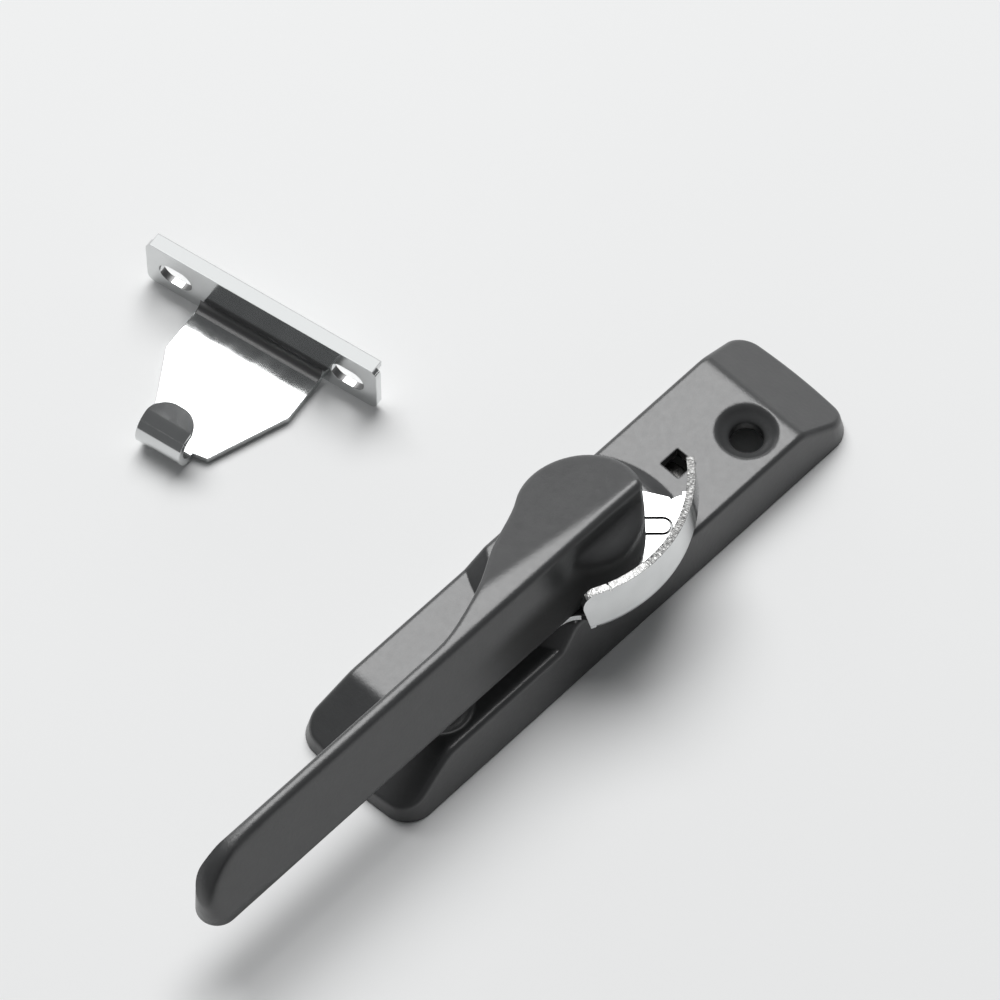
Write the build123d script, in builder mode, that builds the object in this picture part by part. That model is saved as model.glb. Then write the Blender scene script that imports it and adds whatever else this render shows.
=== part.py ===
# A crescent lock for a pair of sliding sashes: a cast base, the handle and hooked cam that turn
# on it, and the sheet keeper that the cam draws in. Millimetres. The origin lies on the handle's
# axis at the back of the base, +Y runs along the base and +Z points away from the sash.
from build123d import *
from math import cos, radians, sin, tan
import os

os.makedirs("parts", exist_ok=True)

# Base casting
base_length = 96.0
base_width = 23.5
base_corner = 4.4
end_bow = 0.8
end_height = 8.0
end_run = 10.6
end_lip = 2.0
boss_rise = 3.0
boss_top_radius = 13.6
boss_slope_run = 3.2
flank_lean = 12.0
case_wall = 1.7
ridge_round = 1.0
crown_round = 1.4
slope_round = 4.0

# Fixing screws and the window over the spring
screw_pitch = 64.6
screw_line = 3.5
screw_hole_radius = 2.6
dish_radius = 5.2
dish_depth = 1.9
dish_swell = 0.42
cup_wall = 0.6
window_side = 3.6
window_place = 21.1

# Spindle, its bush and the parts on its lower end
journal_radius = 4.0
bush_wall = 1.2
bearing_wall = 2.1
bearing_drop = 5.1
upper_square = 6.6
lower_square = 5.4
spindle_reach = 6.4
head_radius = 3.6
head_height = 1.0
washer_thickness = 0.9
washer_radius = 4.8
detent_thickness = 1.0
detent_radius = 7.2
lug_reach = 1.3
lug_width = 2.4
dimple_radius = 0.9
dimple_circle = 6.0

# Leaf spring under the detent plate
spring_thickness = 0.5
spring_width = 7.0
spring_eye_radius = 7.4
dimple_nose_height = 0.3
dimple_nose_radius = 0.7
rivet_spacing = 34.0
rivet_shank_radius = 1.2
rivet_head_radius = 2.1
rivet_head_height = 0.7
rivet_grip = 2.0
rivet_post_radius = 2.4
spring_tail = 3.0
spring_end = 22.2
spring_end_rise = 1.5

# Friction washer between the boss and the cam
friction_radius = 8.8
friction_thickness = 0.4

# Crescent cam: a plate whose outer edge is bent up into the hooked wall
sheet = 1.2
cam_centre_x = -8.8
cam_centre_y = 0.4
cam_radius = 23.8
wall_height = 9.6
wall_lean = 1.2
wall_fall = 0.058
cam_bend = 0.8
blunt_angle = -26.0
blunt_lean = 12.0
blunt_round = 3.4
plate_angle = 45.7
horn_angle = 52.5
slit_angle = -18.6
slit_width = 0.35
slit_depth = 0.7
tongue_width = 2.7
tongue_groove = 0.35
tongue_depth = 0.4
tongue_angle = 44.5
tongue_side = 1.6
tongue_start = 8.0
tongue_end = 13.5
tail_side = 8.1
tail_reach = 20.6
tail_root = 13.0
plate_far_edge = [(-6.5, 8.0), (1.0, 11.8), (4.9, 13.95), (5.35, 13.8), (5.55, 14.6)]
plate_near_edge = [(-1.0, -20.6), (-6.5, -7.0), (-6.5, 8.0)]

# Handle casting
hub_radius = 9.75
handle_draft = 2.5
handle_height = 24.0
shoulder_drop = 3.0
hub_fall = 0.37
ridge_place = 3.4
ridge_turn = 6.7
lever_reach = 82.5
lever_left = 2.3
crest_side = 4.8472
flank_slope = 0.328
shoulder_fall = 0.36
neck_reach = 34.0
hub_leave_angle = 213.0
neck_points = [(-4.25, -14.4), (-1.05, -20.2), (1.35, -27.0)]
nose_radius = 10.5
crest_round = 1.2
rim_round = 0.8
shoulder_round = 1.5
saddle_round = 6.0
lever_shell = 1.7
pocket_depth = 6.0

# Keeper
keeper_x = -62.5
keeper_y = -3.6
keeper_turn = 10.2
flange_length = 42.0
flange_height = 10.1
flange_corner = 1.4
lip_depth = 2.4
plate_depth = 25.5
plate_half_width = 11.2
plate_neck = 9.0
slot_pitch = 31.4
slot_length = 6.0
slot_height = 4.2
slot_rise = 4.8
keeper_bend = 1.6
hook_gap = 4.4
hook_left = -5.0
hook_right = 2.9
hook_return = 3.1
plate_waist = (-7.8, -15.8)
plate_shoulder = 5.3
tongue_corner = 3.4

# Running clearances
spin_gap = 0.05
face_gap = 0.1
stop_gap = 0.15
cut_margin = 1.0

# Heights that follow from the sizes above
boss_height = end_height + boss_rise
cam_bottom = boss_height + friction_thickness + spin_gap
cam_top = cam_bottom + sheet
cam_wall_top = cam_top + wall_height - sheet
bearing_bottom = boss_height - bearing_drop
detent_top = bearing_bottom - face_gap
detent_bottom = detent_top - detent_thickness
washer_bottom = detent_bottom - washer_thickness
spring_top = detent_bottom - dimple_nose_height - face_gap
spring_bottom = spring_top - spring_thickness
bush_radius = journal_radius + spin_gap + bush_wall
cup_bottom = end_height - dish_depth - case_wall
screw_places = [(screw_line, -screw_pitch / 2), (screw_line, screw_pitch / 2)]


def case_outline(inset):
    """Plan of the base, drawn in by the inset: straight flanks and gently bowed ends."""
    half_width = base_width / 2 - inset
    half_length = base_length / 2 - inset
    shoulder = half_length - end_bow
    with BuildSketch() as outline:
        with BuildLine():
            Line((half_width, -shoulder), (half_width, shoulder))
            ThreePointArc((half_width, shoulder), (0, half_length), (-half_width, shoulder))
            Line((-half_width, shoulder), (-half_width, -shoulder))
            ThreePointArc((-half_width, -shoulder), (0, -half_length), (half_width, -shoulder))
        make_face()
        fillet(outline.vertices(), base_corner - inset)
    return outline.sketch


def case_form(inset):
    """The base as a solid block: low ends that slope away and a round raised boss between."""
    low_top = end_height - inset
    half_length = base_length / 2 - inset
    with BuildPart() as envelope:
        with BuildSketch(Plane.YZ) as side:
            Polygon(
                (-half_length, 0),
                (half_length, 0),
                (half_length, end_lip),
                (half_length - end_run, low_top),
                (-half_length + end_run, low_top),
                (-half_length, end_lip),
                align=None,
            )
            fillet(side.vertices().group_by(Axis.Y)[-1], slope_round)
        extrude(amount=base_width, both=True)
        with BuildSketch(Plane.XY.offset(low_top)) as foot:
            Circle(boss_top_radius + boss_slope_run - inset)
        with BuildSketch(Plane.XY.offset(low_top + boss_rise)) as crown:
            Circle(boss_top_radius - inset)
        loft([foot.sketch, crown.sketch])
        fillet(envelope.edges().filter_by(GeomType.CIRCLE).group_by(Axis.Z)[-1], crown_round)
    with BuildPart() as block:
        extrude(case_outline(inset), amount=low_top + boss_rise, taper=flank_lean)
        add(envelope.part, mode=Mode.INTERSECT)
    return block.part


outer_form = case_form(0)
inner_form = case_form(case_wall)

# Base casting: a shell open at the back, with dished cups for the screws, posts for the spring
# and a bearing for the spindle
with BuildPart() as base_case:
    add(outer_form)
    ridges = base_case.edges().filter_by(
        lambda edge: abs(edge.center().X) > base_width / 3 and edge.center().Z > 1.25 * end_lip
    )
    fillet(ridges, ridge_round)
    add(inner_form, mode=Mode.SUBTRACT)
    with BuildSketch(Plane.XY.offset(cup_bottom)):
        with Locations(*screw_places):
            Circle(dish_radius + cup_wall)
    extrude(amount=end_height - case_wall / 2 - cup_bottom)
    with BuildSketch(Plane.XY.offset(spring_top)):
        with GridLocations(0, rivet_spacing, 1, 2):
            Circle(rivet_post_radius)
    extrude(amount=end_height - case_wall / 2 - spring_top)
    with BuildSketch(Plane.XY.offset(bearing_bottom)):
        Circle(bush_radius + bearing_wall)
    extrude(amount=bearing_drop - case_wall / 2)
    stop_inner = detent_radius + 2 * stop_gap
    stop_outer = base_width / 2 - case_wall / 2 - detent_top * tan(radians(flank_lean))
    stop_front = lug_width / 2 + stop_gap
    with BuildSketch(Plane.XY.offset(detent_bottom)):
        for side_sign in (-1, 1):
            with Locations((side_sign * (stop_inner + stop_outer) / 2, stop_front + 1.0)):
                Rectangle(stop_outer - stop_inner, 2.0)
    extrude(amount=boss_height - case_wall / 2 - detent_bottom)
    with BuildSketch(Plane.XY.offset(bearing_bottom)):
        Circle(bush_radius)
    extrude(amount=bearing_drop, mode=Mode.SUBTRACT)
    with BuildSketch(Plane.XZ):
        with BuildLine():
            Polyline((0, end_height + 1), (dish_radius, end_height + 1), (dish_radius, end_height))
            funnel = Spline(
                (dish_radius, end_height),
                ((dish_radius + screw_hole_radius) / 2, end_height - dish_swell * dish_depth),
                (screw_hole_radius, end_height - dish_depth),
                tangents=[(-1, 0), (-0.5, -1)],
            )
            Polyline(funnel @ 1, (screw_hole_radius, 0), (0, 0), (0, end_height + 1))
        make_face()
    dish = revolve(axis=Axis.Z, mode=Mode.PRIVATE)
    with Locations(*screw_places):
        add(dish, mode=Mode.SUBTRACT)
    with BuildSketch(Plane.XY.offset(end_height)):
        with Locations((0, window_place)):
            Rectangle(window_side, window_side)
    extrude(amount=-2 * case_wall, mode=Mode.SUBTRACT)
    with BuildSketch(Plane.XY.offset(spring_top)):
        with GridLocations(0, rivet_spacing, 1, 2):
            Circle(rivet_shank_radius)
    extrude(amount=rivet_grip, mode=Mode.SUBTRACT)
base_case.part.label = "base_case"
export_step(base_case.part, "parts/base_case.step")

# Bush in which the spindle turns
with BuildPart() as pivot_bush:
    with BuildSketch(Plane.XY.offset(bearing_bottom)):
        Circle(bush_radius)
        Circle(journal_radius + spin_gap, mode=Mode.SUBTRACT)
    extrude(amount=bearing_drop)
pivot_bush.part.label = "pivot_bush"
export_step(pivot_bush.part, "parts/pivot_bush.step")

# Friction washer on the boss, round the spindle
with BuildPart() as friction_washer:
    with BuildSketch(Plane.XY.offset(boss_height)):
        Circle(friction_radius)
        Circle(journal_radius + spin_gap, mode=Mode.SUBTRACT)
    extrude(amount=friction_thickness)
friction_washer.part.label = "friction_washer"
export_step(friction_washer.part, "parts/friction_washer.step")

# Leaf spring: an eye round the spindle, two arms riveted to the casting, one curled end
with BuildPart() as detent_spring:
    with BuildSketch(Plane.XY.offset(spring_bottom)):
        Circle(spring_eye_radius)
        Rectangle(spring_width, rivet_spacing + 2 * spring_tail)
        Circle(washer_radius + 0.4, mode=Mode.SUBTRACT)
        with GridLocations(0, rivet_spacing, 1, 2):
            Circle(rivet_shank_radius, mode=Mode.SUBTRACT)
    extrude(amount=spring_thickness)
    with BuildSketch(Plane.XY.offset(spring_top)):
        with GridLocations(0, 2 * dimple_circle, 1, 2):
            Circle(dimple_nose_radius)
    extrude(amount=dimple_nose_height)
    arm_end = rivet_spacing / 2 + spring_tail
    with BuildSketch(Plane.YZ):
        with BuildLine():
            inner = ThreePointArc(
                (arm_end, spring_bottom),
                ((arm_end + spring_end) / 2, spring_bottom + 0.3 * spring_end_rise),
                (spring_end, spring_bottom + spring_end_rise),
            )
            offset(inner, amount=spring_thickness, side=Side.LEFT)
        make_face()
    extrude(amount=spring_width / 2, both=True)
    with BuildSketch(Plane.XY.offset(spring_bottom)):
        Circle(spring_eye_radius)
        SlotOverall(2 * spring_end, spring_width, rotation=90)
    extrude(amount=spring_end_rise + 2 * spring_thickness, mode=Mode.INTERSECT)
detent_spring.part.label = "detent_spring"
export_step(detent_spring.part, "parts/detent_spring.step")

# The two rivets that hold the spring
with BuildPart() as spring_rivets:
    with BuildSketch(Plane.XY.offset(spring_bottom - rivet_head_height)):
        with GridLocations(0, rivet_spacing, 1, 2):
            Circle(rivet_head_radius)
    extrude(amount=rivet_head_height)
    fillet(spring_rivets.edges().group_by(Axis.Z)[0], 0.8 * rivet_head_height)
    with BuildSketch(Plane.XY.offset(spring_bottom)):
        with GridLocations(0, rivet_spacing, 1, 2):
            Circle(rivet_shank_radius)
    extrude(amount=spring_thickness + rivet_grip)
spring_rivets.part.label = "spring_rivets"
export_step(spring_rivets.part, "parts/spring_rivets.step")

# Detent plate on the square of the spindle, with the lug that meets the two stops
with BuildPart() as detent_plate:
    with BuildSketch(Plane.XY.offset(detent_bottom)):
        Circle(detent_radius)
        with Locations((-(detent_radius + lug_reach) / 2, 0)):
            Rectangle(detent_radius + lug_reach, lug_width)
        Rectangle(lower_square, lower_square, mode=Mode.SUBTRACT)
        with GridLocations(0, 2 * dimple_circle, 1, 2):
            Circle(dimple_radius, mode=Mode.SUBTRACT)
    extrude(amount=detent_thickness)
detent_plate.part.label = "detent_plate"
export_step(detent_plate.part, "parts/detent_plate.step")

# Washer under the riveted end of the spindle
with BuildPart() as spindle_washer:
    with BuildSketch(Plane.XY.offset(washer_bottom)):
        Circle(washer_radius)
        Rectangle(lower_square, lower_square, mode=Mode.SUBTRACT)
    extrude(amount=washer_thickness)
spindle_washer.part.label = "spindle_washer"
export_step(spindle_washer.part, "parts/spindle_washer.step")

# Spindle: riveted end, lower square, round journal, upper square for the cam and the handle
with BuildPart() as spindle:
    with BuildSketch(Plane.XY.offset(washer_bottom - head_height)):
        Circle(head_radius)
    extrude(amount=head_height)
    fillet(spindle.edges().group_by(Axis.Z)[0], 0.8 * head_height)
    with BuildSketch(Plane.XY.offset(washer_bottom)):
        Rectangle(lower_square, lower_square)
    extrude(amount=detent_top - washer_bottom)
    with BuildSketch(Plane.XY.offset(detent_top)):
        Circle(journal_radius)
    extrude(amount=cam_bottom - detent_top)
    with BuildSketch(Plane.XY.offset(cam_bottom)):
        Rectangle(upper_square, upper_square)
    extrude(amount=sheet + spindle_reach)
spindle.part.label = "spindle"
export_step(spindle.part, "parts/spindle.step")


def on_cam(radius, angle):
    """A point of the plan at this radius and angle about the centre of the cam's wall."""
    return (
        cam_centre_x + radius * cos(radians(angle)),
        cam_centre_y + radius * sin(radians(angle)),
    )


def wall_plane(angle):
    """A plane that touches the outside of the wall: its x runs round the wall and its y upwards."""
    turn = radians(angle)
    return Plane(
        origin=(*on_cam(cam_radius, angle), cam_bottom),
        x_dir=(-sin(turn), cos(turn), 0),
        z_dir=(cos(turn), sin(turn), 0),
    )


# Crescent cam: the bent-up wall is turned about its own centre, off the spindle's axis,
# so that it draws the keeper in as the handle goes round
wall_start = blunt_angle - 6.0
cam_plane = Plane(
    origin=(cam_centre_x, cam_centre_y, 0),
    x_dir=(cos(radians(wall_start)), sin(radians(wall_start)), 0),
    z_dir=(sin(radians(wall_start)), -cos(radians(wall_start)), 0),
)
cam_axis = Axis((cam_centre_x, cam_centre_y, 0), (0, 0, 1))
flange_root = cam_radius - sheet - cam_bend - 0.6
wall_reach = 3 * sheet
blunt_place = on_cam(cam_radius, blunt_angle)[1]
horn_place = on_cam(cam_radius, horn_angle)[1]
horn_top = cam_wall_top - wall_fall * (horn_place - blunt_place)

with BuildPart() as horn_cut:
    for height, angle in ((cam_bottom - sheet, plate_angle), (horn_top + sheet, horn_angle)):
        with BuildSketch(Plane.XY.offset(height)):
            with BuildLine():
                Polyline(
                    on_cam(flange_root - 1, angle),
                    on_cam(cam_radius + 3, angle),
                    on_cam(cam_radius + 3, horn_angle + 8),
                    on_cam(flange_root - 1, horn_angle + 8),
                    close=True,
                )
            make_face()
    loft(ruled=True)

with BuildPart() as crescent_cam:
    with BuildSketch(cam_plane) as wall_section:
        with BuildLine():
            Polyline(
                (flange_root, cam_bottom),
                (cam_radius, cam_bottom),
                (cam_radius - wall_lean, cam_wall_top + sheet),
                (cam_radius - wall_lean - sheet, cam_wall_top + sheet),
                (cam_radius - sheet, cam_top),
                (flange_root, cam_top),
                close=True,
            )
        make_face()
        fillet(wall_section.vertices().sort_by_distance((cam_radius, cam_bottom))[0], cam_bend + sheet)
        fillet(wall_section.vertices().sort_by_distance((cam_radius - sheet, cam_top))[0], cam_bend)
    revolve(axis=cam_axis, revolution_arc=horn_angle - wall_start)
    add(horn_cut.part, mode=Mode.SUBTRACT)
    with BuildSketch(Plane.YZ):
        Polygon(
            (blunt_place - wall_reach, cam_wall_top + wall_fall * wall_reach),
            (horn_place + wall_reach, horn_top - wall_fall * wall_reach),
            (horn_place + wall_reach, cam_wall_top + wall_reach),
            (blunt_place - wall_reach, cam_wall_top + wall_reach),
            align=None,
        )
    extrude(amount=cam_radius, both=True, mode=Mode.SUBTRACT)
    with BuildSketch(wall_plane(blunt_angle)):
        with BuildLine():
            bend_height = wall_height - blunt_round
            end_lean = tan(radians(blunt_lean))
            end_edge = Line((end_lean * sheet, -sheet), (-end_lean * bend_height, bend_height))
            corner = TangentArc(
                end_edge @ 1,
                (blunt_round - end_lean * bend_height, wall_height + 0.1),
                tangent=(-end_lean, 1),
            )
            Polyline(
                corner @ 1,
                ((corner @ 1).X, wall_height + sheet),
                (-wall_reach, wall_height + sheet),
                (-wall_reach, -sheet),
                end_edge @ 0,
            )
        make_face()
    extrude(amount=-wall_reach, mode=Mode.SUBTRACT)
    with BuildSketch(wall_plane(slit_angle)):
        with Locations((0, wall_height)):
            Rectangle(slit_width, 2 * slit_depth)
    extrude(amount=-wall_reach, mode=Mode.SUBTRACT)
    with BuildSketch(Plane.XY.offset(cam_bottom)) as plate:
        with BuildLine():
            far_edge = Polyline(*plate_far_edge, on_cam(flange_root, plate_angle))
            root = ThreePointArc(
                far_edge @ 1,
                on_cam(flange_root, (plate_angle + blunt_angle) / 2),
                on_cam(flange_root, blunt_angle),
            )
            shoulder = Spline(
                root @ 1,
                (tail_side, -tail_root),
                tangents=[(-0.8, -0.6), (0, -1)],
            )
            Polyline(shoulder @ 1, (tail_side, -tail_reach), *plate_near_edge)
        make_face()
    extrude(amount=sheet)
    with BuildSketch(Plane.XY.offset(cam_bottom)):
        Rectangle(upper_square, upper_square)
    extrude(amount=sheet, mode=Mode.SUBTRACT)
    tongue_length = tongue_end - tongue_start
    tongue_plane = Plane.XY.offset(cam_top).rotated((0, 0, tongue_angle))
    with BuildSketch(tongue_plane):
        with Locations(((tongue_start + tongue_end) / 2, tongue_side)):
            SlotOverall(tongue_length + tongue_groove, tongue_width + tongue_groove)
            SlotOverall(
                tongue_length - tongue_groove, tongue_width - tongue_groove, mode=Mode.SUBTRACT
            )
    extrude(amount=-tongue_depth, mode=Mode.SUBTRACT)
crescent_cam.part.label = "crescent_cam"
export_step(crescent_cam.part, "parts/crescent_cam.step")

# Handle casting: a round hub and a drafted lever under one top, which is level along the lever
# and falls away over the hub; the lever's flank leans in and runs on across the hub
shoulder_height = handle_height - shoulder_drop
lever_right = crest_side + flank_slope * (handle_height - cam_top)
blank_height = handle_height - cam_top + cut_margin
half_tip = (lever_right - lever_left) / 2
tip_start = lever_reach - half_tip
flank_top = lever_right - flank_slope * blank_height
crest_x = lever_right - flank_slope * (handle_height - cam_top)
shoulder_x = lever_right - flank_slope * (shoulder_height - cam_top)
hub_leave = radians(hub_leave_angle)
ridge_plane = Plane(
    origin=(ridge_place, 0, 0),
    x_dir=(cos(radians(ridge_turn)), -sin(radians(ridge_turn)), 0),
    z_dir=(-sin(radians(ridge_turn)), -cos(radians(ridge_turn)), 0),
)

with BuildPart() as hub:
    with BuildSketch(Plane.XY.offset(cam_top)):
        Circle(hub_radius)
    extrude(amount=blank_height, taper=handle_draft)

with BuildPart() as flank_cut:
    with BuildSketch(Plane.XZ):
        Polygon(
            (lever_right + flank_slope, cam_top - 1),
            (flank_top, cam_top + blank_height),
            (base_width, cam_top + blank_height),
            (base_width, cam_top - 1),
            align=None,
        )
    extrude(amount=lever_reach + 1, both=True)
    add(hub.part, mode=Mode.SUBTRACT)

with BuildPart() as handle:
    with BuildSketch(Plane.XY.offset(cam_top)):
        with BuildLine():
            neck = Spline(
                (hub_radius * cos(hub_leave), hub_radius * sin(hub_leave)),
                *neck_points,
                (lever_left, -neck_reach),
                tangents=[(-sin(hub_leave), cos(hub_leave)), (0, -1)],
            )
            side = Line(neck @ 1, (lever_left, -tip_start))
            tip = ThreePointArc(
                side @ 1,
                ((lever_left + lever_right) / 2, -lever_reach),
                (lever_right, -tip_start),
            )
            Polyline(tip @ 1, (lever_right, 0), neck @ 0)
        make_face()
        Circle(hub_radius)
    extrude(amount=blank_height, taper=handle_draft)
    add(flank_cut.part, mode=Mode.SUBTRACT)
    with BuildSketch(Plane.XZ):
        Polygon(
            (shoulder_x, shoulder_height),
            (flank_top, cam_top + blank_height),
            (base_width, cam_top + blank_height),
            (base_width, shoulder_height - shoulder_fall * (base_width - shoulder_x)),
            align=None,
        )
    extrude(amount=2 * hub_radius, both=True, mode=Mode.SUBTRACT)
    with BuildSketch(ridge_plane) as top_section:
        Polygon(
            (-base_width, handle_height - hub_fall * base_width),
            (0, handle_height),
            (base_width, handle_height),
            (base_width, handle_height + base_width),
            (-base_width, handle_height + base_width),
            align=None,
        )
        fillet(top_section.vertices().sort_by_distance((0, handle_height))[0], saddle_round)
    extrude(amount=lever_reach + base_width, both=True, mode=Mode.SUBTRACT)
    fillet(handle.edges().sort_by_distance((hub_radius, 0, shoulder_height))[0], shoulder_round)
    ear_corner = (shoulder_x, hub_radius, (shoulder_height + handle_height) / 2)
    crest = handle.edges().sort_by_distance((crest_x, -tip_start / 2, handle_height))[0]
    ear = handle.edges().sort_by_distance(ear_corner)[0]
    fillet([crest, ear], crest_round)
    hub_rim = (-hub_radius, 0, handle_height - hub_fall * (hub_radius + ridge_place))
    fillet(handle.edges().sort_by_distance(hub_rim)[0], rim_round)
    nose_start = lever_reach - nose_radius + 0.5
    nose_middle = handle_height - nose_radius
    with BuildSketch(Plane.YZ):
        with BuildLine():
            fall = CenterArc((-nose_start, nose_middle), nose_radius, 90, 90)
            Polyline(
                fall @ 1,
                (-lever_reach - 2, nose_middle),
                (-lever_reach - 2, handle_height + 2),
                (-nose_start, handle_height + 2),
                fall @ 0,
            )
        make_face()
    extrude(amount=base_width, both=True, mode=Mode.SUBTRACT)
    with BuildSketch(Plane.XY.offset(cam_top)):
        Rectangle(upper_square, upper_square)
    extrude(amount=spindle_reach, mode=Mode.SUBTRACT)
    pocket_left = lever_left + lever_shell
    pocket_middle = -(neck_reach + tip_start) / 2
    pocket_length = tip_start - neck_reach
    pocket_levels = []
    for height in (0, pocket_depth):
        pocket_right = lever_right - flank_slope * height - lever_shell
        with BuildSketch(Plane.XY.offset(cam_top + height)) as level:
            with Locations(((pocket_left + pocket_right) / 2, pocket_middle)):
                SlotOverall(pocket_length, pocket_right - pocket_left, rotation=90)
        pocket_levels.append(level.sketch)
    loft(pocket_levels, mode=Mode.SUBTRACT)
handle.part.label = "handle"
export_step(handle.part, "parts/handle.step")

# Keeper: one strip of sheet, with an upright flange, a flat plate and a rolled-up hook
keeper_plane = Plane(
    origin=(keeper_x, keeper_y, 0),
    x_dir=(cos(radians(keeper_turn)), sin(radians(keeper_turn)), 0),
    z_dir=(0, 0, 1),
)
keeper_side = Plane(
    origin=keeper_plane.origin,
    x_dir=keeper_plane.y_dir,
    z_dir=keeper_plane.x_dir,
)
keeper_front = Plane(
    origin=keeper_plane.origin,
    x_dir=keeper_plane.x_dir,
    z_dir=-keeper_plane.y_dir,
)
hook_radius = hook_gap / 2 + sheet
hook_centre = -plate_depth + hook_radius

with BuildPart() as keeper_hook:
    with BuildSketch(keeper_side.offset(hook_left)):
        with BuildLine():
            roll = CenterArc((hook_centre, hook_radius), hook_radius, 270, -180)
            Polyline(
                roll @ 1,
                (hook_centre + hook_return, 2 * hook_radius),
                (hook_centre + hook_return, 2 * hook_radius - sheet),
                (hook_centre, 2 * hook_radius - sheet),
            )
            CenterArc((hook_centre, hook_radius), hook_radius - sheet, 90, 180)
            Line((hook_centre, sheet), (hook_centre, 0))
        make_face()
    extrude(amount=hook_right - hook_left)
    with BuildSketch(keeper_plane) as hook_plan:
        with Locations(((hook_left + hook_right) / 2, hook_centre + hook_return)):
            Rectangle(
                hook_right - hook_left,
                hook_radius + hook_return,
                align=(Align.CENTER, Align.MAX),
            )
        fillet(hook_plan.vertices().group_by(Axis.Y)[-1], tongue_corner)
    extrude(amount=2 * hook_radius, mode=Mode.INTERSECT)

with BuildPart() as keeper:
    with BuildSketch(keeper_side) as plate_section:
        with BuildLine():
            Polyline(
                (hook_centre, 0),
                (sheet, 0),
                (sheet, flange_height / 2),
                (0, flange_height / 2),
                (0, sheet),
                (hook_centre, sheet),
                close=True,
            )
        make_face()
        fillet(plate_section.vertices().sort_by_distance((sheet, 0))[0], keeper_bend + sheet)
        fillet(plate_section.vertices().sort_by_distance((0, sheet))[0], keeper_bend)
    extrude(amount=base_width, both=True)
    with BuildSketch(keeper_plane):
        Polygon(
            (-plate_half_width, 2 * sheet),
            (-plate_half_width, -plate_neck),
            plate_waist,
            (hook_left, hook_centre),
            (hook_left, hook_centre - 1),
            (hook_right, hook_centre - 1),
            (hook_right, hook_centre),
            (plate_shoulder, hook_centre + 0.5),
            (plate_half_width, -plate_neck),
            (plate_half_width, 2 * sheet),
            align=None,
        )
    extrude(amount=flange_height, mode=Mode.INTERSECT)
    with BuildSketch(keeper_front) as flange_face:
        with Locations((0, flange_height / 2 + 0.2)):
            Rectangle(flange_length, flange_height - 0.4)
        fillet(flange_face.vertices(), flange_corner)
    extrude(amount=-sheet)
    with BuildSketch(keeper_side):
        with Locations((lip_depth / 2, flange_height - sheet / 2)):
            Rectangle(lip_depth, sheet)
    extrude(amount=flange_length / 2 - flange_corner / 2, both=True)
    with BuildSketch(keeper_front):
        with GridLocations(slot_pitch, 0, 2, 1):
            with Locations((0, slot_rise)):
                SlotOverall(slot_length, slot_height)
    extrude(amount=-3 * sheet, mode=Mode.SUBTRACT)
    add(keeper_hook.part)
keeper.part.label = "keeper"
export_step(keeper.part, "parts/keeper.step")
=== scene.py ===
import math

import bpy
from mathutils import Matrix, Vector

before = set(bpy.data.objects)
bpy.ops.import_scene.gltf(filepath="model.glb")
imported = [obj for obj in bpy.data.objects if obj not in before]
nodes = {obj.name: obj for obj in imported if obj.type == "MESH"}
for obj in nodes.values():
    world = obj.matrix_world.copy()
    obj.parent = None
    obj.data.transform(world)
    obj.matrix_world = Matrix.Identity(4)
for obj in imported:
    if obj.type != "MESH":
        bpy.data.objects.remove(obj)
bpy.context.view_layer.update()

# Camera, as the photograph was taken
CAMERA_ELEVATION = math.radians(59.06)
CAMERA_AZIMUTH = math.radians(44.15)
FOCAL_PIXELS = 6702.0
ORIGIN_SCALE = 6788.0
ORIGIN_PIXEL = (578.3, 579.4)
FRAME_CENTRE = 500.0
FRAME_PIXELS = 1000.0
SENSOR_WIDTH = 36.0

# The centre of the cam's wall, in the row frame
CAM_CENTRE = (-0.0088, 0.0004)

# The keeper's place, and the direction from its hook to its flange
KEEPER_PLACE = (-0.0625, -0.0036, 0)
KEEPER_TURN = math.radians(10.2)
KEEPER_ALONG = (-math.sin(KEEPER_TURN), math.cos(KEEPER_TURN), 0)

# The keeper's shading: its hook's tongue and lip by bump, a painted dark reflection on the bend
# under the flange, and the cut top
TONGUE_LEVEL = 0.0062
TONGUE_END = -0.015
TONGUE_SLOPE = 0.33
LIP_LEVEL = 0.0095
LIP_SLOPE = 0.17
FLANGE_NEAR = -0.0035
FLANGE_TOP = 0.0100
BEND_TOP = 0.0040
BEND_FACING = (0.12, 0.997)
BEND_REFLECTION_COLOUR = (0.20, 0.20, 0.20)
BEND_ROUGHNESS = (0.45, 0.45, 0.45)
TOP_FACING = 0.9
CUT_COLOUR = (0.49, 0.50, 0.50)
CUT_ROUGHNESS = (0.6, 0.6, 0.6)

# The bright plating and the rounding of its edges
PLATE_DARK = (0.64, 0.65, 0.65)
PLATE_LIGHT = (0.71, 0.72, 0.72)
PLATE_EDGE = 0.00016

# The paint: its gloss, and the rounding of its edges at the nose and over the hub's shoulder
PAINT_SPECULAR = 0.8
BEVEL_SAMPLES = 8
BASE_EDGE = 0.0005
HANDLE_EDGE = 0.0009
NOSE_EDGE = 0.0017
NOSE_Y = (-0.066, -0.074)
SHOULDER_EDGE = 0.0030
SHOULDER_X = (0.0055, 0.0070)
SHOULDER_Y = (-0.013, -0.009)
SHOULDER_Z = (0.0220, 0.0205)

# The foot of the hub, dark in the photograph: painted shade, a darker and rougher paint where the
# crescent's wall shades the hub
FOOT_SHADE_COLOUR = (0.012, 0.012, 0.012)
FOOT_ROUGHNESS = (0.8, 0.8, 0.8)
FOOT_X = (0.0020, 0.0040)
FOOT_Y = (-0.0330, -0.0170)
FOOT_Z = (0.0205, 0.0165)
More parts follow.
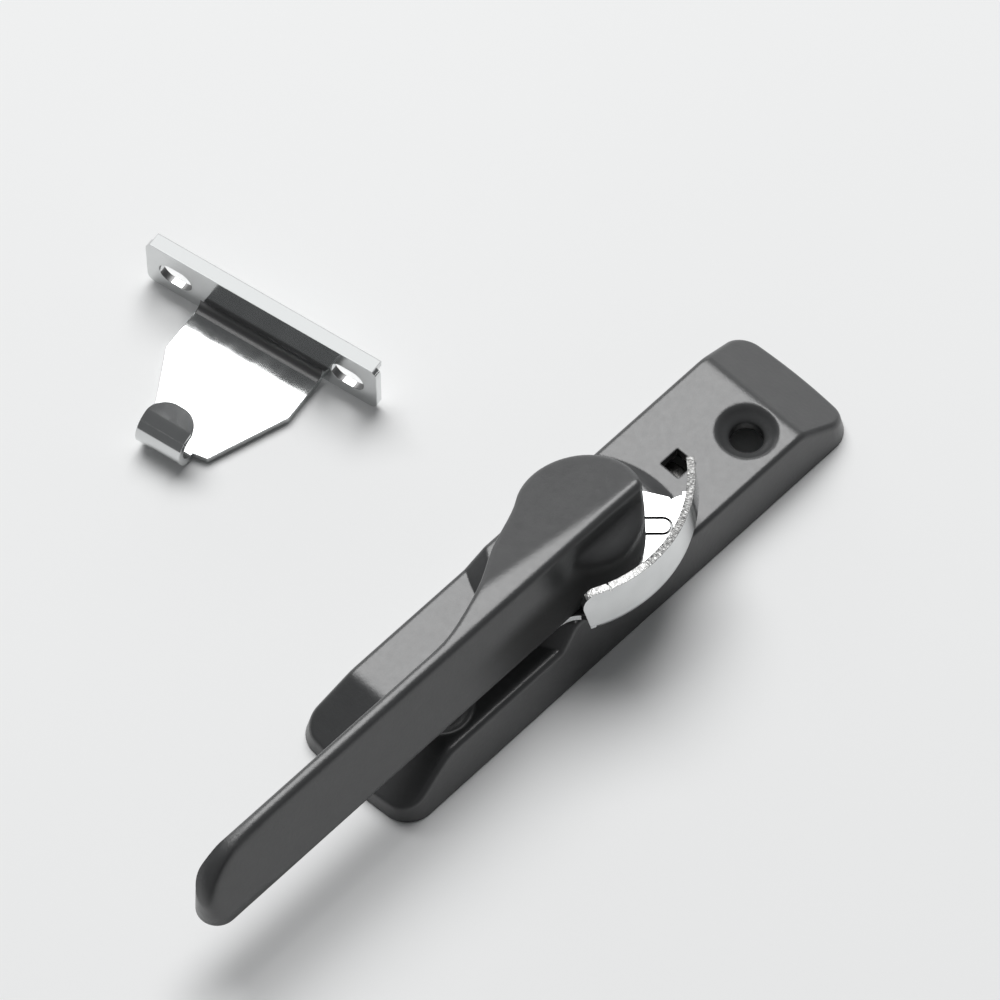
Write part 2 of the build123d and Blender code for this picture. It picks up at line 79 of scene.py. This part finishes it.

# The cam: the sheared edge on its wall, painted shade in the pressed slot and in the corner by the
# blunt end, a painted highlight on the tail's edge
SHEARED_LEVEL = 0.0172
SHEARED_FACING = 0.6
SHEARED_TONES = [
    (0.34, (0.10, 0.10, 0.10)),
    (0.5, (0.38, 0.38, 0.375)),
    (0.66, (0.80, 0.80, 0.79)),
]
SHEARED_ROUGHNESS = [(0.35, 0.6), (0.65, 0.38)]
STREAKS_PER_RADIAN = 130.0
STREAKS_ACROSS = 1400.0
SMOOTH_END = (0.0010, -0.0012)
SMOOTH_LIFT = 0.22
GROOVE_PLACE = (0.0065, 0.0092, 0.01245)
GROOVE_REACH = 0.0036
GROOVE_LEVEL = 0.01262
GROOVE_SHADE_COLOUR = (0.11, 0.11, 0.11)
CORNER_PLACE = (0.0093, -0.0099, 0.0128)
CORNER_REACH = (0.0042, 0.0030)
CORNER_LEVEL = 0.0135
CORNER_SHADE_COLOUR = (0.010, 0.010, 0.010)
TAIL_START = -0.0095
TAIL_FACING = 0.4
TAIL_HIGHLIGHT_COLOUR = (0.92, 0.93, 0.93)
TAIL_ROUGHNESS = (0.5, 0.5, 0.5)

# The nylon
NYLON_TONES = [(0.3, (0.62, 0.61, 0.57)), (0.7, (0.70, 0.69, 0.65))]

# The stage
FLOOR_TONES = [(0.3, (0.865, 0.87, 0.87)), (0.7, (0.88, 0.885, 0.885))]
FLOOR_SIZE = 6
FLOOR_DROP = 0.0002
WORLD_COLOUR = (0.62, 0.63, 0.64, 1)
WORLD_STRENGTH = 0.22


def make_camera():
    """A camera at the photograph's angle, distance and framing."""
    e, a = CAMERA_ELEVATION, CAMERA_AZIMUTH
    right = Vector((math.cos(a), math.sin(a), 0))
    ahead = Vector((-math.sin(a) * math.cos(e), math.cos(a) * math.cos(e), -math.sin(e)))
    up = right.cross(ahead)
    distance = FOCAL_PIXELS / ORIGIN_SCALE
    across = (ORIGIN_PIXEL[0] - FRAME_CENTRE) / ORIGIN_SCALE
    upward = (FRAME_CENTRE - ORIGIN_PIXEL[1]) / ORIGIN_SCALE
    data = bpy.data.cameras.new("camera")
    data.sensor_width = SENSOR_WIDTH
    data.lens = FOCAL_PIXELS / FRAME_PIXELS * SENSOR_WIDTH
    data.clip_start, data.clip_end = 0.05, 20
    camera = bpy.data.objects.new("camera", data)
    place = -across * right - upward * up - distance * ahead
    turn = Matrix((right, up, -ahead)).transposed().to_4x4()
    camera.matrix_world = Matrix.Translation(place) @ turn
    bpy.context.scene.collection.objects.link(camera)
    bpy.context.scene.camera = camera
    bpy.context.scene.view_settings.view_transform = "Standard"


def new_material(name):
    material = bpy.data.materials.new(name)
    material.use_nodes = True
    tree = material.node_tree
    return material, tree, tree.nodes["Principled BSDF"]


def node(tree, kind, **values):
    """A shader node with its settings and the values of its sockets."""
    made = tree.nodes.new(kind)
    for key, value in values.items():
        if hasattr(made, key):
            setattr(made, key, value)
        else:
            made.inputs[key.replace("_", " ")].default_value = value
    return made


def noise(tree, coordinates, scale, detail=2.0, roughness=0.5):
    made = node(tree, "ShaderNodeTexNoise", Scale=scale, Detail=detail, Roughness=roughness)
    tree.links.new(coordinates, made.inputs["Vector"])
    return made.outputs["Fac"]


def ramp(tree, factor, stops):
    made = tree.nodes.new("ShaderNodeValToRGB")
    tree.links.new(factor, made.inputs["Fac"])
    while len(made.color_ramp.elements) < len(stops):
        made.color_ramp.elements.new(0.5)
    for element, (place, level) in zip(made.color_ramp.elements, stops):
        element.position = place
        colour = level if isinstance(level, tuple) else (level, level, level)
        element.color = (*colour, 1)
    return made.outputs["Color"]


def bump(tree, height, strength, distance, before=None):
    made = node(tree, "ShaderNodeBump", Strength=strength, Distance=distance)
    tree.links.new(height, made.inputs["Height"])
    if before is not None:
        tree.links.new(before, made.inputs["Normal"])
    return made.outputs["Normal"]


def rounded_edges(tree, radius):
    """A normal that is rounded over the edges, convex and concave, by this radius."""
    return node(tree, "ShaderNodeBevel", samples=BEVEL_SAMPLES, Radius=radius).outputs["Normal"]


def object_place(tree):
    return tree.nodes.new("ShaderNodeTexCoord").outputs["Object"]


def maths(tree, operation, first, second=None):
    """A Math node; each operand is a socket or a number."""
    made = node(tree, "ShaderNodeMath", operation=operation)
    for socket, value in zip(made.inputs, (first, second)):
        if value is None:
            continue
        if isinstance(value, (int, float)):
            socket.default_value = value
        else:
            tree.links.new(value, socket)
    return made.outputs["Value"]


def times(tree, first, *others):
    """The product of several factors."""
    for other in others:
        first = maths(tree, "MULTIPLY", first, other)
    return first


def over(tree, value, limit):
    return maths(tree, "GREATER_THAN", value, limit)


def under(tree, value, limit):
    return maths(tree, "LESS_THAN", value, limit)


def axes(tree, place):
    """The three coordinates of a place."""
    return (along(tree, place, axis) for axis in ((1, 0, 0), (0, 1, 0), (0, 0, 1)))


def far_from(tree, coordinates, point):
    made = node(tree, "ShaderNodeVectorMath", operation="DISTANCE")
    tree.links.new(coordinates, made.inputs[0])
    made.inputs[1].default_value = point
    return made.outputs["Value"]


def along(tree, coordinates, direction, origin=(0, 0, 0)):
    """Distance from the origin along a direction, in metres."""
    moved = node(tree, "ShaderNodeVectorMath", operation="SUBTRACT")
    tree.links.new(coordinates, moved.inputs[0])
    moved.inputs[1].default_value = origin
    made = node(tree, "ShaderNodeVectorMath", operation="DOT_PRODUCT")
    tree.links.new(moved.outputs["Vector"], made.inputs[0])
    made.inputs[1].default_value = direction
    return made.outputs["Value"]


def mixed(tree, factor, first, second):
    """Two colours or numbers blended by a factor."""
    made = node(tree, "ShaderNodeMix", data_type="RGBA")
    tree.links.new(factor, made.inputs["Factor"])
    for socket, value in ((made.inputs["A"], first), (made.inputs["B"], second)):
        if isinstance(value, tuple):
            socket.default_value = (*value, 1)
        else:
            tree.links.new(value, socket)
    return made.outputs["Result"]


def facing_up(tree):
    """How far the surface faces up in the object's own frame."""
    facing = node(tree, "ShaderNodeSeparateXYZ")
    tree.links.new(tree.nodes.new("ShaderNodeTexCoord").outputs["Normal"], facing.inputs["Vector"])
    return facing.outputs["Z"]


def smooth_step(tree, value, start, end):
    """0 before the start, 1 after the end, and a smooth rise between."""
    made = node(tree, "ShaderNodeMapRange", interpolation_type="SMOOTHSTEP")
    tree.links.new(value, made.inputs["Value"])
    made.inputs["From Min"].default_value = start
    made.inputs["From Max"].default_value = end
    return made.outputs["Result"]


def handle_rounding(tree, place):
    """The handle's soft edges: wider at its nose and over the hub's shoulder."""
    x, y, z = axes(tree, place)
    nose = smooth_step(tree, y, *NOSE_Y)
    shoulder = times(
        tree,
        smooth_step(tree, x, *SHOULDER_X),
        smooth_step(tree, y, *SHOULDER_Y),
        smooth_step(tree, z, *SHOULDER_Z),
    )
    wider = maths(tree, "ADD", times(tree, nose, NOSE_EDGE), times(tree, shoulder, SHOULDER_EDGE))
    return maths(tree, "ADD", wider, HANDLE_EDGE)


def hub_foot_shade(tree, place):
    """1 at the foot of the hub's near side, which the photograph shows dull and dark: the mask of a
    painted shade, where the crescent's wall shades the hub.
    """
    x, y, z = axes(tree, place)
    return times(
        tree,
        smooth_step(tree, x, *FOOT_X),
        smooth_step(tree, y, *FOOT_Y),
        smooth_step(tree, z, *FOOT_Z),
    )


def grey_paint(name, rounding=None, foot=None):
    """Satin dark grey stoving paint on a zinc casting, rounder over its edges, with painted shade
    where a foot mask is given.
    """
    material, tree, shader = new_material(name)
    place = object_place(tree)
    edges = node(tree, "ShaderNodeBevel", samples=BEVEL_SAMPLES, Radius=BASE_EDGE)
    if rounding is not None:
        tree.links.new(rounding(tree, place), edges.inputs["Radius"])
    mottle = noise(tree, place, 260, 3)
    shade = ramp(tree, mottle, [(0.3, (0.046, 0.047, 0.048)), (0.7, (0.053, 0.054, 0.055))])
    gloss = ramp(tree, noise(tree, place, 900, 2), [(0.3, 0.31), (0.7, 0.35)])
    if foot is not None:
        # painted shade: where the foot mask is 1, the paint is darker and rougher, standing in for
        # the crescent wall's shade on the hub
        painted_shade_and_edge_gloss = foot(tree, place)
        shade = mixed(tree, painted_shade_and_edge_gloss, shade, FOOT_SHADE_COLOUR)
        gloss = mixed(tree, painted_shade_and_edge_gloss, gloss, FOOT_ROUGHNESS)
    tree.links.new(shade, shader.inputs["Base Color"])
    tree.links.new(gloss, shader.inputs["Roughness"])
    shader.inputs["Specular IOR Level"].default_value = PAINT_SPECULAR
    peel = bump(tree, noise(tree, place, 1500, 2), 0.12, 0.0002, edges.outputs["Normal"])
    grain = bump(tree, noise(tree, place, 5200, 1), 0.10, 0.0001, peel)
    tree.links.new(grain, shader.inputs["Normal"])
    return material


def plate_finish(name):
    """Bright nickel plating on pressed steel: its tree, shader, place, colour, gloss and normal."""
    material, tree, shader = new_material(name)
    place = object_place(tree)
    tone = ramp(tree, noise(tree, place, 180, 2), [(0.3, PLATE_DARK), (0.7, PLATE_LIGHT)])
    shader.inputs["Metallic"].default_value = 1.0
    gloss = ramp(tree, noise(tree, place, 420, 3), [(0.35, 0.10), (0.75, 0.16)])
    ripple = bump(tree, noise(tree, place, 90, 1), 0.05, 0.0004, rounded_edges(tree, PLATE_EDGE))
    return material, tree, shader, place, tone, gloss, ripple


def keeper_plate():
    """The keeper's plating: the tongue rises to its tip and the lip hangs a little, in shading."""
    material, tree, shader, place, tone, gloss, normal = plate_finish("keeper_plate")
    height = along(tree, place, (0, 0, 1))
    reach = along(tree, place, KEEPER_ALONG, KEEPER_PLACE)
    on_tongue = times(tree, over(tree, height, TONGUE_LEVEL), under(tree, reach, TONGUE_END))
    on_lip = over(tree, height, LIP_LEVEL)
    rise = times(tree, on_tongue, TONGUE_SLOPE)
    slope = maths(tree, "SUBTRACT", rise, times(tree, on_lip, LIP_SLOPE))
    normal = bump(tree, times(tree, slope, reach), 1.0, 1.0, normal)
    upward = facing_up(tree)
    by_flange = over(tree, reach, FLANGE_NEAR)
    # painted reflection: the bend below the flange gets a dark, rougher coat that stands in for the
    # dark reflection along it
    bend_reflection = times(
        tree,
        by_flange,
        over(tree, upward, BEND_FACING[0]),
        under(tree, upward, BEND_FACING[1]),
        under(tree, height, BEND_TOP),
    )
    cut_top = times(tree, by_flange, over(tree, height, FLANGE_TOP), over(tree, upward, TOP_FACING))
    tone = mixed(tree, bend_reflection, tone, BEND_REFLECTION_COLOUR)
    tone = mixed(tree, cut_top, tone, CUT_COLOUR)
    gloss = mixed(tree, bend_reflection, gloss, BEND_ROUGHNESS)
    gloss = mixed(tree, cut_top, gloss, CUT_ROUGHNESS)
    tree.links.new(tone, shader.inputs["Base Color"])
    tree.links.new(gloss, shader.inputs["Roughness"])
    tree.links.new(normal, shader.inputs["Normal"])
    return material


def cam_plate():
    """The cam's plating, with the bare sheared edge along the top of its wall."""
    material, tree, shader, place, tone, gloss, normal = plate_finish("cam_plate")
    x = along(tree, place, (1, 0, 0), (CAM_CENTRE[0], 0, 0))
    y = along(tree, place, (0, 1, 0), (0, CAM_CENTRE[1], 0))
    turn = maths(tree, "ARCTAN2", y, x)
    reach = maths(tree, "SQRT", maths(tree, "ADD", times(tree, x, x), times(tree, y, y)))
    streak_place = node(tree, "ShaderNodeCombineXYZ")
    tree.links.new(times(tree, turn, STREAKS_PER_RADIAN), streak_place.inputs["X"])
    tree.links.new(times(tree, reach, STREAKS_ACROSS), streak_place.inputs["Y"])
    streaks = noise(tree, streak_place.outputs["Vector"], 1.0, 2, 0.6)
    upward = facing_up(tree)
    length, height = along(tree, place, (0, 1, 0)), along(tree, place, (0, 0, 1))
    sheared = times(tree, over(tree, height, SHEARED_LEVEL), over(tree, upward, SHEARED_FACING))
    smooth_end = smooth_step(tree, length, *SMOOTH_END)
    streaks = maths(tree, "ADD", streaks, times(tree, smooth_end, SMOOTH_LIFT))
    bare = ramp(tree, streaks, SHEARED_TONES)
    painted_shade_and_edge_gloss = ramp(tree, streaks, SHEARED_ROUGHNESS)
    # painted shade: the pressed slot in the plate is coloured near black, for the shade in its
    # hollow
    groove_shade = times(
        tree,
        under(tree, far_from(tree, place, GROOVE_PLACE), GROOVE_REACH),
        under(tree, height, GROOVE_LEVEL),
    )
    # painted shade: the plate's top beside the blunt end, under the lever's flank, fades to near
    # black for the flank's shade and dark reflection there
    corner_shade = times(
        tree,
        smooth_step(tree, far_from(tree, place, CORNER_PLACE), *CORNER_REACH),
        under(tree, height, CORNER_LEVEL),
    )
    # painted highlight: the tail's side faces are paler and rougher, for the bright line along its
    # edge
    tail_highlight = times(
        tree,
        under(tree, maths(tree, "ABSOLUTE", upward), TAIL_FACING),
        under(tree, length, TAIL_START),
        under(tree, height, CORNER_LEVEL),
    )
    tone = mixed(tree, groove_shade, tone, GROOVE_SHADE_COLOUR)
    tone = mixed(tree, corner_shade, tone, CORNER_SHADE_COLOUR)
    tone = mixed(tree, tail_highlight, tone, TAIL_HIGHLIGHT_COLOUR)
    gloss = mixed(tree, tail_highlight, gloss, TAIL_ROUGHNESS)
    tree.links.new(mixed(tree, sheared, tone, bare), shader.inputs["Base Color"])
    tree.links.new(mixed(tree, sheared, gloss, painted_shade_and_edge_gloss), shader.inputs["Roughness"])
    cut = times(tree, sheared, streaks)
    tree.links.new(bump(tree, cut, 0.8, 0.0003, normal), shader.inputs["Normal"])
    return material


def plain_steel(name, colour, roughness):
    material, tree, shader = new_material(name)
    place = object_place(tree)
    darker = tuple(0.82 * c for c in colour)
    tone = ramp(tree, noise(tree, place, 500, 3), [(0.3, darker), (0.7, colour)])
    tree.links.new(tone, shader.inputs["Base Color"])
    shader.inputs["Metallic"].default_value = 1.0
    gloss = ramp(tree, noise(tree, place, 700, 2), [(0.3, roughness), (0.7, roughness + 0.1)])
    tree.links.new(gloss, shader.inputs["Roughness"])
    scratch = bump(tree, noise(tree, place, 2600, 2), 0.15, 0.0001)
    tree.links.new(scratch, shader.inputs["Normal"])
    return material


def nylon():
    material, tree, shader = new_material("nylon")
    place = object_place(tree)
    tone = ramp(tree, noise(tree, place, 300, 2), NYLON_TONES)
    tree.links.new(tone, shader.inputs["Base Color"])
    shader.inputs["Roughness"].default_value = 0.45
    tree.links.new(bump(tree, noise(tree, place, 1800, 2), 0.1, 0.0001), shader.inputs["Normal"])
    return material


def dress(material, *names):
    for name in names:
        mesh = nodes[name].data
        mesh.materials.clear()
        mesh.materials.append(material)


def make_stage():
    """A pale floor under the object."""
    bpy.ops.mesh.primitive_plane_add(size=FLOOR_SIZE, location=(0, 0, -FLOOR_DROP))
    floor = bpy.context.object
    floor.name = "floor"
    material, tree, shader = new_material("floor")
    place = object_place(tree)
    tone = ramp(tree, noise(tree, place, 6, 3), FLOOR_TONES)
    tree.links.new(tone, shader.inputs["Base Color"])
    shader.inputs["Roughness"].default_value = 0.8
    shader.inputs["Specular IOR Level"].default_value = 0.2
    floor.data.materials.append(material)


def soft_light(name, azimuth, elevation, distance, width, height, power):
    """A rectangular soft light facing the object; azimuth 0 is beyond it, as the camera sees it."""
    a = CAMERA_AZIMUTH + math.radians(azimuth)
    e = math.radians(elevation)
    towards = Vector((-math.sin(a) * math.cos(e), math.cos(a) * math.cos(e), math.sin(e)))
    data = bpy.data.lights.new(name, "AREA")
    data.shape = "RECTANGLE"
    data.size, data.size_y = width, height
    data.energy = power
    light = bpy.data.objects.new(name, data)
    light.location = towards * distance
    light.rotation_mode = "QUATERNION"
    light.rotation_quaternion = towards.to_track_quat("Z", "Y")
    bpy.context.scene.collection.objects.link(light)


def make_lights():
    world = bpy.data.worlds.new("surroundings")
    bpy.context.scene.world = world
    world.use_nodes = True
    background = world.node_tree.nodes["Background"]
    background.inputs["Color"].default_value = WORLD_COLOUR
    background.inputs["Strength"].default_value = WORLD_STRENGTH
    soft_light("key", 9, 60, 2.6, 2.25, 1.7, 72)
    soft_light("horizon", 5, 12, 2.4, 3.6, 0.7, 8)


make_camera()
dress(grey_paint("base_paint"), "base_case")
dress(grey_paint("handle_paint", handle_rounding, hub_foot_shade), "handle")
dress(cam_plate(), "crescent_cam")
dress(keeper_plate(), "keeper")
dress(
    plain_steel("zinc_steel", (0.62, 0.63, 0.64), 0.28),
    "spindle", "spindle_washer", "detent_plate", "spring_rivets",
)
dress(plain_steel("spring_steel", (0.80, 0.79, 0.77), 0.2), "detent_spring")
dress(nylon(), "pivot_bush", "friction_washer")
make_stage()
make_lights()
